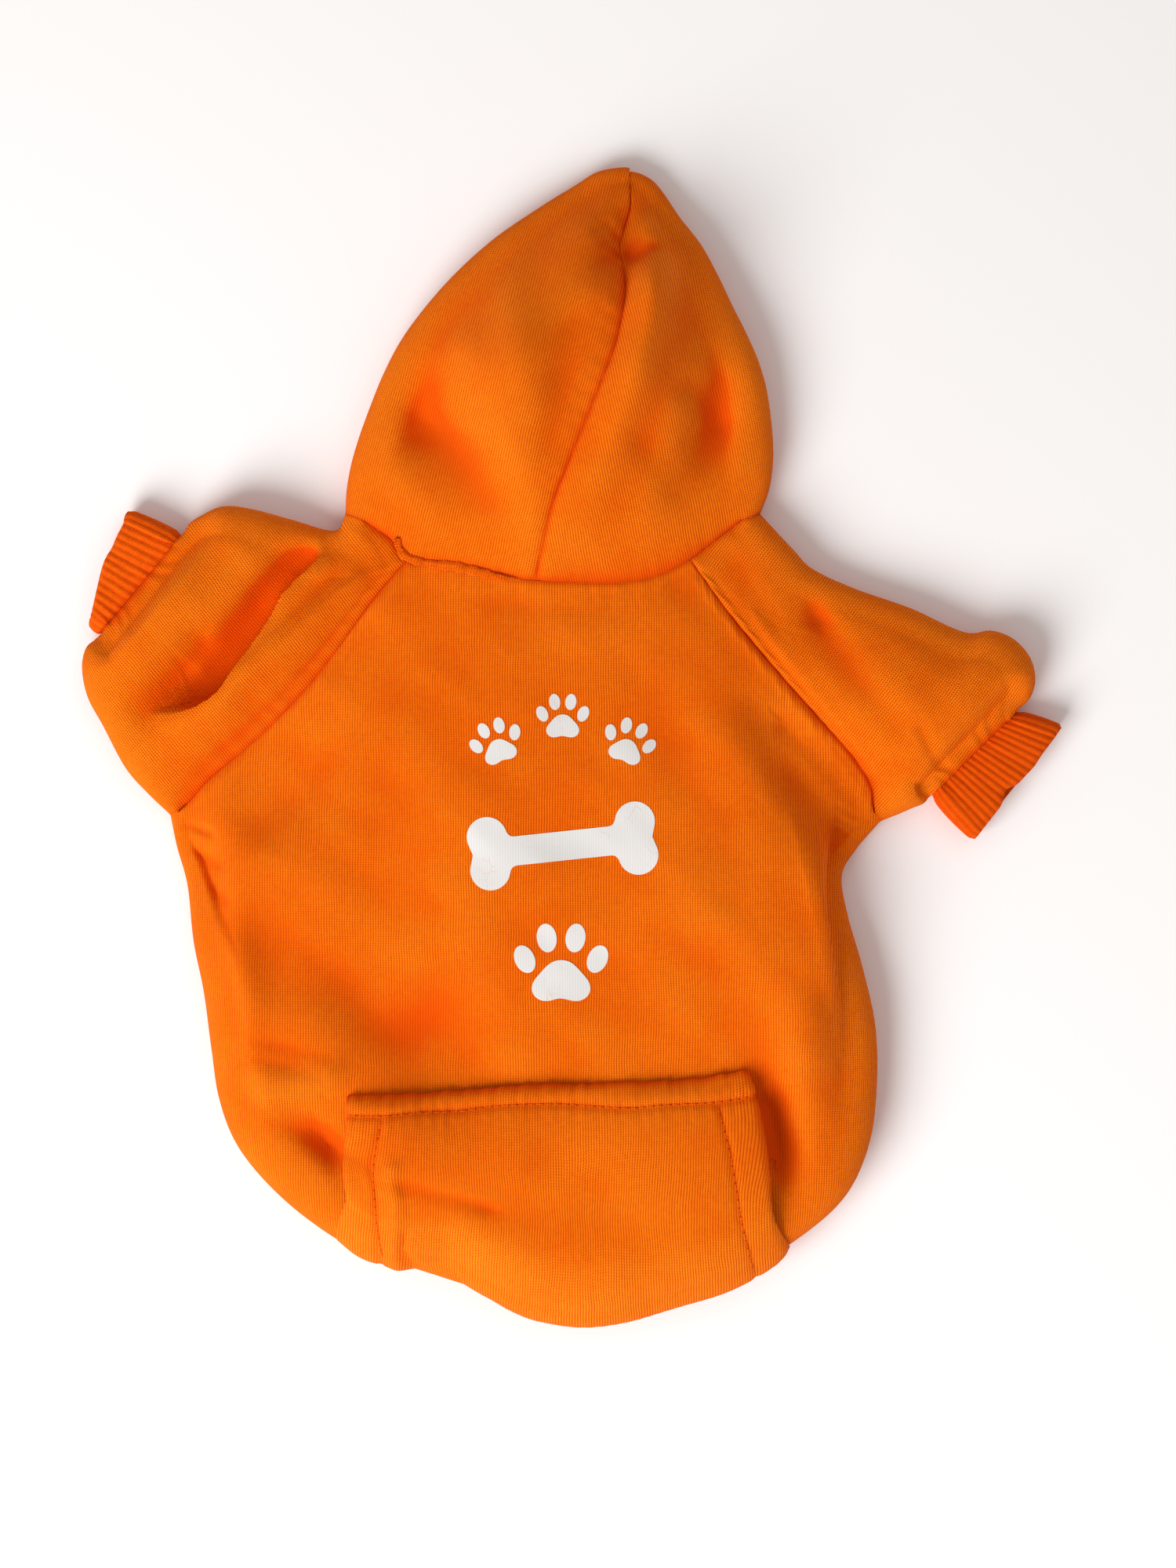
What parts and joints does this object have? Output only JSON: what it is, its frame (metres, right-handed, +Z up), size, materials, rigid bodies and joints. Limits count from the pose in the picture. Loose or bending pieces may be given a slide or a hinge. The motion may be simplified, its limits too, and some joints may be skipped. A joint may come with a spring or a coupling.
{
  "type": "dog hoodie",
  "caption": "Pullover hoodie for a small dog, lying flat back up: hood, raglan sleeves with ribbed cuffs, back patch pocket and ribbed waist opening.",
  "frame": {"origin": "centre of the hoodie's outline on the surface it lies on", "axes": "+Y from tail to the hood's tip, +X to the right seen from above, +Z up out of the back"},
  "size_m": [0.3128, 0.367, 0.0432],
  "materials": {
    "fleece": "matt brushed knit",
    "ribbing": "matt rib knit"
  },
  "bodies": {
    "root": {"hood_left": "fleece", "hood_right": "fleece", "back_panel": "fleece", "belly_panel": "fleece", "sleeve_left": "fleece", "sleeve_right": "fleece", "pocket": "fleece", "cuff_left": "ribbing", "cuff_right": "ribbing", "hem_band": "ribbing"}
  },
  "joints": []
}
